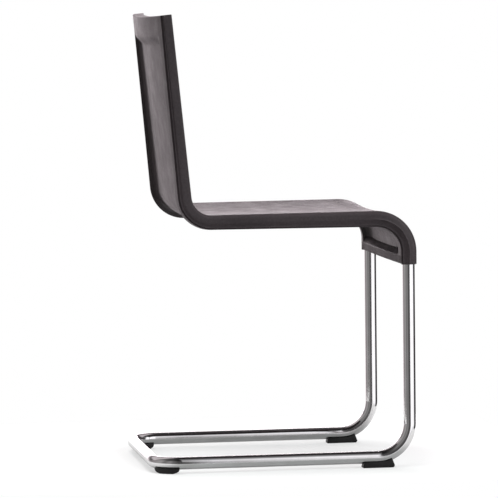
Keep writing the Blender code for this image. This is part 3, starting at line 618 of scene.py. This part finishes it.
def make_pad(name, loops):
    edit = bmesh.new()
    rings = [[edit.verts.new(point) for point in loop] for loop in loops]
    join_rings(edit, rings)
    edit.faces.new(rings[0])
    edit.faces.new(rings[-1])
    bmesh.ops.recalc_face_normals(edit, faces=edit.faces)
    corners = [edge for edge in edit.edges if edge.calc_face_angle(0.0) > PAD_CORNER]
    bmesh.ops.bevel(edit, geom=corners, offset=PAD_ROUND, segments=PAD_ROUND_STEPS, profile=ROUND_PROFILE,
                    affect="EDGES")
    tube_space = bent_bar("tube_space", tube_points, TUBE_RADIUS + PAD_GAP)
    return cut(make_object(name, edit), [tube_space])


pads = {}
for side_name, side in (("left", 1), ("right", -1)):
    pads[f"front_glide_{side_name}"] = make_pad(f"front_pad_{side_name}", front_pad_loops(side * TUBE_X))
    pads[f"rear_glide_{side_name}"] = make_pad(f"rear_pad_{side_name}", rear_pad_loops(side))
print("pads:", {name: len(pad.data.polygons) for name, pad in pads.items()})

# %% [markdown]
# Finishes come next. Each is a Principled shader whose colour, roughness and bump come from noise in the
# object's own coordinates, so the grain keeps its real size and needs no unwrapping. A few helpers start
# a finish, add noise to it, and turn that noise into a range of values or of colours. Noise seldom comes
# near 0 or 1, so a range starts and ends where most of it lies.

# %% Helpers for finishes
ONE_NOISE, TWO_NOISES = (0.3, 0.7), (0.7, 1.3)


class Finish:
    """A Principled material that is built up from noise."""

    def __init__(self, name, roughness, metallic=0.0):
        self.material = bpy.data.materials.new(name)
        self.material.use_nodes = True
        self.nodes = self.material.node_tree.nodes
        self.links = self.material.node_tree.links
        self.shader = self.nodes["Principled BSDF"]
        self.shader.inputs["Roughness"].default_value = roughness
        self.shader.inputs["Metallic"].default_value = metallic
        self.place = self.nodes.new("ShaderNodeTexCoord").outputs["Object"]

    def noise(self, per_metre, detail=2.0):
        made = self.nodes.new("ShaderNodeTexNoise")
        made.inputs["Scale"].default_value = per_metre
        made.inputs["Detail"].default_value = detail
        self.links.new(self.place, made.inputs["Vector"])
        return made.outputs["Fac"]

    def cells(self, per_metre):
        made = self.nodes.new("ShaderNodeTexVoronoi")
        made.inputs["Scale"].default_value = per_metre
        self.links.new(self.place, made.inputs["Vector"])
        return made.outputs["Distance"]

    def along(self, axis):
        """The point's own distance along one of the object's axes, in metres."""
        made = self.nodes.new("ShaderNodeSeparateXYZ")
        self.links.new(self.place, made.inputs[0])
        return made.outputs[axis]

    def to_range(self, value, low, high, start=ONE_NOISE[0], end=ONE_NOISE[1]):
        made = self.nodes.new("ShaderNodeMapRange")
        self.links.new(value, made.inputs["Value"])
        for name, number in (("From Min", start), ("From Max", end), ("To Min", low), ("To Max", high)):
            made.inputs[name].default_value = number
        return made.outputs["Result"]

    def math(self, operation, first, second):
        made = self.nodes.new("ShaderNodeMath")
        made.operation = operation
        self.links.new(first, made.inputs[0])
        self.links.new(second, made.inputs[1])
        return made.outputs[0]

    def sum(self, first, second):
        return self.math("ADD", first, second)

    def product(self, first, second):
        return self.math("MULTIPLY", first, second)

    def colours(self, share, first, second):
        """Goes from the first colour to the second as the share goes from 0 to 1."""
        # A Mix node also holds sockets for numbers: its colours go in at 6 and 7 and come out at 2.
        made = self.nodes.new("ShaderNodeMix")
        made.data_type = "RGBA"
        self.links.new(share, made.inputs["Factor"])
        for socket, colour in ((made.inputs[6], first), (made.inputs[7], second)):
            if isinstance(colour, tuple):
                socket.default_value = (*colour, 1.0)
            else:
                self.links.new(colour, socket)
        return made.outputs[2]

    def use(self, **sockets):
        for name, value in sockets.items():
            self.links.new(value, self.shader.inputs[name.replace("_", " ").title()])

    def bump(self, height, depth, strength=1.0):
        made = self.nodes.new("ShaderNodeBump")
        made.inputs["Distance"].default_value = depth
        made.inputs["Strength"].default_value = strength
        self.links.new(height, made.inputs["Height"])
        self.links.new(made.outputs["Normal"], self.shader.inputs["Normal"])


# %% [markdown]
# The shell's skin is a charcoal foam with a fine, even, leathery grain from its mould. Two sizes of cells
# and a softer wave make the grain. A slow cloud and fine specks vary the colour, the edges that hands and
# clothes rub are paler, the bead, the side's rear edge and the web's fine edge carry painted highlights in
# the same paler colour, and the trimmed lip at the foot is rougher than the skin. The colour is dark and
# only a little warm: the pale look of the seat in the picture is gloss at a low angle, which the shader
# gives by itself.

# %% Foam skin
FOAM_DARK = (0.028, 0.0228, 0.0244)
FOAM_PALE = (0.049, 0.0398, 0.0425)
# Paler colour for worn edges and for the painted highlight lines.
FOAM_WEAR_AND_HIGHLIGHT = (0.080, 0.0680, 0.0720)
FOAM_GLOSS = 1.33
FOAM_ROUGHNESS = (0.37, 0.51)
TRIM_ROUGHNESS, TRIM_BLEND = 0.15, 0.001
GRAIN_DEPTH, GRAIN_STRENGTH = 0.00022, 0.55

foam = Finish("charcoal foam skin", 0.5)
foam.shader.inputs["IOR"].default_value = FOAM_GLOSS
cloud = foam.noise(9, 4)
speck = foam.noise(330, 3)
dark_to_pale = foam.to_range(foam.sum(cloud, speck), 0.0, 1.0, *TWO_NOISES)
wear_and_highlight = foam.nodes.new("ShaderNodeAttribute")
wear_and_highlight.attribute_name = "wear_and_highlight"
# Paler patches on worn edges and painted highlight lines, both from the same attribute.
patchy_wear_and_highlight = foam.product(wear_and_highlight.outputs["Fac"], foam.to_range(foam.noise(60, 4), 0.1, 0.9))
skin = foam.colours(dark_to_pale, FOAM_DARK, FOAM_PALE)
foam.use(base_color=foam.colours(patchy_wear_and_highlight, skin, FOAM_WEAR_AND_HIGHLIGHT))

lip_top = SHELL_END_Z + LIP_HEIGHT
trimmed = foam.to_range(foam.along("Z"), TRIM_ROUGHNESS, 0.0, lip_top - TRIM_BLEND, lip_top)
skin_roughness = foam.to_range(foam.sum(speck, foam.noise(35, 3)), *FOAM_ROUGHNESS, *TWO_NOISES)
foam.use(roughness=foam.sum(skin_roughness, trimmed))

coarse_cells = foam.to_range(foam.cells(900), 0.0, 0.6, 0.0, 0.6)
fine_cells = foam.to_range(foam.cells(2100), 0.0, 0.25, 0.0, 0.6)
wave = foam.to_range(foam.noise(300, 2), 0.0, 0.9)
foam.bump(foam.sum(foam.sum(coarse_cells, wave), fine_cells), GRAIN_DEPTH, GRAIN_STRENGTH)
print("foam nodes:", len(foam.nodes))

# %% [markdown]
# The tube is polished chrome. Chrome has hardly any colour of its own, so the work is in its surface: a
# very slight waviness from bending and polishing, and faint smears that change its gloss.

# %% Chrome
CHROME_DULL, CHROME_BRIGHT = (0.66, 0.655, 0.65), (0.74, 0.74, 0.745)
CHROME_ROUGHNESS, SMEAR_RANGE = (0.05, 0.13), (0.75, 1.3)
WAVE_DEPTH, WAVE_STRENGTH = 0.0002, 0.04

chrome = Finish("polished chrome", 0.07, 1.0)
smear = chrome.noise(28, 5)
chrome.use(base_color=chrome.colours(chrome.to_range(smear, 0.0, 1.0), CHROME_DULL, CHROME_BRIGHT))
fine_smear = chrome.sum(smear, chrome.noise(160, 4))
chrome.use(roughness=chrome.to_range(fine_smear, *CHROME_ROUGHNESS, *SMEAR_RANGE))
chrome.bump(chrome.noise(70, 1), WAVE_DEPTH, WAVE_STRENGTH)
print("chrome nodes:", len(chrome.nodes))

# %% [markdown]
# The pads are black moulded plastic with a fine spark texture, and pick up a little grey dust low down.
# A height taken from the object's own coordinates fades the dust in towards the floor.

# %% Black plastic
PLASTIC_DARK, PLASTIC_PALE = (0.006, 0.006, 0.006), (0.012, 0.012, 0.012)
PLASTIC_ROUGHNESS, PLASTIC_GLOSS = (0.30, 0.45), 0.3
DUST_COLOUR, DUST_SHARE, DUST_HEIGHT = (0.075, 0.072, 0.068), 0.25, 0.003
SPARK_DEPTH, SPARK_STRENGTH = 0.00012, 0.5

plastic = Finish("black moulded plastic", 0.5)
plastic.shader.inputs["Specular IOR Level"].default_value = PLASTIC_GLOSS
low_down = plastic.to_range(plastic.along("Z"), DUST_SHARE, 0.0, 0.0, DUST_HEIGHT)
dust = plastic.product(low_down, plastic.to_range(plastic.noise(240, 4), 0.0, 1.0))
black = plastic.colours(plastic.to_range(plastic.noise(500, 2), 0.0, 1.0), PLASTIC_DARK, PLASTIC_PALE)
plastic.use(base_color=plastic.colours(dust, black, DUST_COLOUR))
plastic.use(roughness=plastic.to_range(plastic.noise(700, 2), *PLASTIC_ROUGHNESS))
plastic.bump(plastic.cells(2400), SPARK_DEPTH, SPARK_STRENGTH)
print("plastic nodes:", len(plastic.nodes))

# %% [markdown]
# The steel inside the foam is mostly hidden: grey primed rails and strap, blued springs, a black coated
# tie and zinc plated fasteners. They still get real finishes, since someone may take the chair apart.
# One table gives each its metal share, two colours, range of roughness, grain size and depth of bump.

# %% Steel finishes
STEEL = {
    "frame_steel": ("grey primer", 0.0, (0.17, 0.17, 0.18), (0.22, 0.22, 0.23), (0.45, 0.65), 900, 0.00008),
    "spring_steel": ("blued steel", 1.0, (0.09, 0.10, 0.14), (0.16, 0.16, 0.19), (0.25, 0.42), 300, 0.00003),
    "coated_steel": ("black powder coat", 0.0, (0.010, 0.010, 0.010), (0.020, 0.020, 0.020), (0.35, 0.5),
                     1100, 0.0001),
    "zinc_fasteners": ("zinc plate", 1.0, (0.52, 0.52, 0.50), (0.66, 0.66, 0.65), (0.22, 0.4), 800, 0.00004),
}
GRAINS_IN_PATCH, STEEL_BUMP = 12, 0.6


def steel_finish(name, metallic, first, second, roughness, per_metre, depth):
    made = Finish(name, roughness[0], metallic)
    patches = made.noise(per_metre / GRAINS_IN_PATCH, 4)
    made.use(base_color=made.colours(made.to_range(patches, 0.0, 1.0), first, second))
    made.use(roughness=made.to_range(made.noise(per_metre, 3), *roughness))
    made.bump(made.noise(per_metre, 2), depth, STEEL_BUMP)
    return made.material


finishes = {slot_name: steel_finish(*row) for slot_name, row in STEEL.items()}
finishes |= {"skin_foam": foam.material, "chrome_tube": chrome.material, "glide_plastic": plastic.material}
print("finishes:", sorted(finishes))

# %% [markdown]
# Every piece now gets its finish and rides on the chair's one body, and the solid it stands for is hidden.
# The shell is foam. Solids that keep their own shape, such as the tie and the screws, only get the better
# finish.

# %% Dress the chair
SHARP_EDGE = radians(50)

pieces = {"seat_shell": (shell, "skin_foam"), "base_tube": (tube, "chrome_tube")}
pieces |= {node: (pad, "glide_plastic") for node, pad in pads.items()}
for node, (piece, slot_name) in pieces.items():
    piece.data.materials.clear()
    piece.data.materials.append(finishes[slot_name])
    piece.data.shade_smooth()
    piece.data.set_sharp_from_angle(angle=SHARP_EDGE)
    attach(piece, "root")
    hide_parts(node)

slot_of = {part["node"]: part["material_slot"] for part in frame["record"]["subparts"]}
for node, solid in frame["nodes"].items():
    if node not in pieces:
        solid.data.materials.clear()
        solid.data.materials.append(finishes[slot_of[node]])
print("new pieces:", len(pieces), "solids kept:", len(frame["nodes"]) - len(pieces))

# %% [markdown]
# The picture's studio is white: a pale floor runs into a white background. The tube shows what else is
# there: a large bright panel to the camera's right, grey walls to its left, a bright backdrop behind the
# chair with a glow at the horizon, two pale patches of ceiling beyond, and darkness behind the camera and
# overhead. Lamps could stand in for each of them, but all of it is easier to place when it is drawn on
# the sky. Each list below gives brightness at shares of the way round, where 0 is straight behind the
# chair as the camera sees it and 0.5 is the camera, or at shares of the way up, where 0.5 is the horizon.

# %% What stands round the chair
BACK_ROUND = [(0.0, 1.3), (0.025, 1.25), (0.05, 1.06), (0.09, 0.9), (0.125, 0.45), (0.20, 0.0), (0.965, 0.0),
              (0.985, 0.9), (1.0, 1.3)]
BACK_UP = [(0.0, 0.05), (0.25, 0.1), (0.34, 0.4), (0.39, 1.1), (0.43, 1.3), (0.475, 1.0), (0.54, 1.0),
           (0.58, 0.5), (0.65, 0.2), (0.75, 0.08), (1.0, 0.05)]
GLOW_ROUND = [(0.0, 10.0), (0.03, 7.0), (0.06, 0.0), (0.955, 0.0), (0.98, 7.0), (1.0, 10.0)]
GLOW_UP = [(0.0, 0.0), (0.47, 0.0), (0.50, 1.0), (0.54, 1.0), (0.58, 0.35), (0.64, 0.08), (0.70, 0.0),
           (1.0, 0.0)]
HAZE_ROUND = [(0.0, 1.6), (0.08, 1.9), (0.17, 1.5), (0.23, 0.8), (0.28, 0.5), (0.42, 0.4), (0.50, 0.05),
              (0.85, 0.2), (0.92, 1.0), (1.0, 1.6)]
HAZE_UP = [(0.0, 0.2), (0.38, 0.4), (0.46, 1.0), (0.80, 1.0), (0.86, 0.75), (0.93, 0.28), (1.0, 0.10)]
ROOM_ROUND = [(0.0, 0.05), (0.14, 0.05), (0.20, 0.33), (0.30, 0.42), (0.355, 0.21), (0.41, 0.30),
              (0.46, 0.15), (0.505, 0.08), (0.75, 0.06), (1.0, 0.05)]
PANEL_ROUND = [(0.0, 0.0), (0.543, 0.0), (0.554, 1.0), (0.563, 1.45), (0.72, 1.45), (0.75, 0.5),
               (0.765, 0.0), (1.0, 0.0)]
SIDE_UP = [(0.0, 0.2), (0.35, 0.3), (0.44, 1.0), (0.80, 1.0), (0.86, 0.75), (0.93, 0.28), (1.0, 0.10)]
CEILING_ROUND = [(0.0, 0.0), (0.03, 0.2), (0.07, 0.6), (0.17, 0.6), (0.22, 0.0), (0.80, 0.0), (0.85, 0.6),
                 (0.93, 0.6), (0.97, 0.0), (1.0, 0.0)]
CEILING_UP = [(0.0, 0.0), (0.68, 0.0), (0.76, 1.0), (0.93, 1.0), (0.98, 0.2), (1.0, 0.0)]
WARM, COOL = (1.0, 0.90, 0.94), (0.985, 0.97, 1.0)
TINT_ROUND = [(0.0, WARM), (0.20, (1.0, 0.92, 0.94)), (0.30, (1.0, 0.97, 0.97)), (0.50, (1.0, 0.97, 0.98)),
              (0.56, COOL), (0.75, COOL), (0.90, WARM), (1.0, WARM)]
lit = [share for share, level in PANEL_ROUND if level > 0]
print("the panel covers", round(360 * (lit[-1] - lit[0])), "degrees round the chair")

# %% Helpers for the sky
world = bpy.data.worlds.new("studio")
bpy.context.scene.world = world
world.use_nodes = True
sky, wires = world.node_tree.nodes, world.node_tree.links
direction = sky.new("ShaderNodeTexCoord").outputs["Generated"]


def sky_dot(axis):
    made = sky.new("ShaderNodeVectorMath")
    made.operation = "DOT_PRODUCT"
    wires.new(direction, made.inputs[0])
    made.inputs[1].default_value = axis
    return made.outputs["Value"]


def sky_math(operation, first, second):
    made = sky.new("ShaderNodeMath")
    made.operation = operation
    for socket, value in zip(made.inputs, (first, second)):
        if isinstance(value, (int, float)):
            socket.default_value = value
        else:
            wires.new(value, socket)
    return made.outputs[0]


def sky_sum(first, *others):
    for other in others:
        first = sky_math("ADD", first, other)
    return first


def sky_colours(value, stops):
    """Colours at shares of the way round or up, eased between them."""
    made = sky.new("ShaderNodeValToRGB")
    made.color_ramp.interpolation = "EASE"
    for share, _ in stops[1:-1]:
        made.color_ramp.elements.new(share)
    for element, (share, colour) in zip(made.color_ramp.elements, stops):
        element.position = share
        element.color = (*colour, 1.0)
    wires.new(value, made.inputs["Fac"])
    return made.outputs["Color"]


def sky_ramp(value, stops):
    """Grey levels in the same way; they may pass white."""
    top = max(level for _, level in stops)
    greys = [(share, (level / top,) * 3) for share, level in stops]
    return sky_math("MULTIPLY", sky_colours(value, greys), top)


# %% [markdown]
# Two skies are mixed from these lists, as a photographer uses soft lamps for the light and cards for the
# reflections: the soft one lights matt surfaces evenly, and the shiny one is what chrome and foam mirror.
# With a single sky, either the chrome would glare or the foam would be too dark. The light is a little
# warm behind the chair and a little cool from the panel. The camera sees plain white instead.

# %% Light from the sky
SOFT_PANEL, GLOW_SHINE = 1.6, 0.54
WHITE = (1.0, 1.0, 1.0, 1.0)

to_camera = Vector((-looking.x, -looking.y, 0)).normalized()
compass = sky_math("ARCTAN2", sky_dot(level_right), sky_dot(to_camera))
round_share = sky_math("ADD", sky_math("DIVIDE", compass, 2 * pi), 0.5)
up_share = sky_math("ADD", sky_math("DIVIDE", sky_dot((0, 0, 1)), 2.0), 0.5)


def sky_part(around, upwards):
    return sky_math("MULTIPLY", sky_ramp(round_share, around), sky_ramp(up_share, upwards))


panel = sky_part(PANEL_ROUND, SIDE_UP)
glow = sky_part(GLOW_ROUND, GLOW_UP)
soft = sky_sum(sky_part(HAZE_ROUND, HAZE_UP), glow, sky_math("MULTIPLY", panel, SOFT_PANEL))
backdrop = sky_sum(sky_part(BACK_ROUND, BACK_UP), sky_math("MULTIPLY", glow, GLOW_SHINE))
walls = sky_sum(sky_part(ROOM_ROUND, SIDE_UP), panel)
shiny = sky_sum(backdrop, walls, sky_part(CEILING_ROUND, CEILING_UP))

ray = sky.new("ShaderNodeLightPath")
change = sky_math("MULTIPLY", ray.outputs["Is Glossy Ray"], sky_math("SUBTRACT", shiny, soft))
unseen = sky_sum(soft, change)
seen = sky_math("MAXIMUM", ray.outputs["Is Camera Ray"], ray.outputs["Is Transmission Ray"])
level = sky_sum(sky_math("MULTIPLY", unseen, sky_math("SUBTRACT", 1.0, seen)), seen)
wires.new(level, sky["Background"].inputs["Strength"])

tint = sky.new("ShaderNodeMix")
tint.data_type = "RGBA"
wires.new(seen, tint.inputs["Factor"])
wires.new(sky_colours(round_share, TINT_ROUND), tint.inputs[6])
tint.inputs[7].default_value = WHITE
wires.new(tint.outputs[2], sky["Background"].inputs["Color"])
bpy.context.scene.view_settings.view_transform = "Standard"
print("sky nodes:", len(sky))

# %% [markdown]
# Soft lamps overhead and behind the chair give the floor its faint shadows. The floor is a grey sheet,
# which the underside of the tube mirrors, and the camera sees it lifted to white, so that only the soft
# shadows stay. Behind and in front of the chair its colour is painted paler, as a painted pool of the
# extra light that falls there, and the bends of the tube pick that up.

# %% Lamps
def lamp(name, place, target, size, power):
    made = bpy.data.objects.new(name, bpy.data.lights.new(name, "AREA"))
    made.data.size = size
    made.data.energy = power
    made.location = place
    made.rotation_euler = (Vector(target) - Vector(place)).to_track_quat("-Z", "Y").to_euler()
    made.visible_glossy = False
    bpy.context.scene.collection.objects.link(made)
    return made


lamps = [lamp("top_lamp", place=(-0.2, 0.2, 2.6), target=(0, 0, 0.3), size=1.8, power=45),
         lamp("back_lamp", place=(2.4, 1.0, 0.7), target=(0, 0, 0.1), size=1.2, power=30)]
print("lamps:", [made.name for made in lamps])

# %% Floor
FLOOR_LOW, FLOOR_HIGH = (-0.38, -0.50), (0.60, 0.60)
FLOOR_GREY, FLOOR_LIGHT_GREY, FLOOR_PAINTED_LIT = (0.47, 0.49, 0.48), (0.49, 0.51, 0.50), (0.83, 0.85, 0.84)
GREY_LIFT, PALE_LIFT = 0.47, 0.14
PALE_BEHIND, PALE_IN_FRONT = (0.20, 0.27), (-0.23, -0.29)

(low_x, low_y), (high_x, high_y) = FLOOR_LOW, FLOOR_HIGH
edit = bmesh.new()
outline = ((low_x, low_y), (high_x, low_y), (high_x, high_y), (low_x, high_y))
edit.faces.new([edit.verts.new((x, y, 0)) for x, y in outline])
floor = make_object("studio_floor", edit)

sheet = Finish("pale floor", 0.9)
sheet.shader.inputs["Specular IOR Level"].default_value = 0.0
back_to_front = sheet.along("Y")
# Painted light: the sheet's colour is paler behind and in front of the chair, standing in for the extra
# light there.
painted_light_share = sheet.sum(sheet.to_range(back_to_front, 0.0, 1.0, *PALE_BEHIND),
                  sheet.to_range(back_to_front, 0.0, 1.0, *PALE_IN_FRONT))
grey = sheet.colours(sheet.to_range(sheet.noise(1.5, 2), 0.0, 1.0), FLOOR_GREY, FLOOR_LIGHT_GREY)
sheet.use(base_color=sheet.colours(painted_light_share, grey, FLOOR_PAINTED_LIT))
seen_by_camera = sheet.nodes.new("ShaderNodeLightPath").outputs["Is Camera Ray"]
lift = sheet.to_range(painted_light_share, GREY_LIFT, PALE_LIFT, 0.0, 1.0)
sheet.shader.inputs["Emission Color"].default_value = WHITE
sheet.use(emission_strength=sheet.product(seen_by_camera, lift))
floor.data.materials.append(sheet.material)
print("floor:", round(high_x - low_x, 2), "x", round(high_y - low_y, 2), "m")
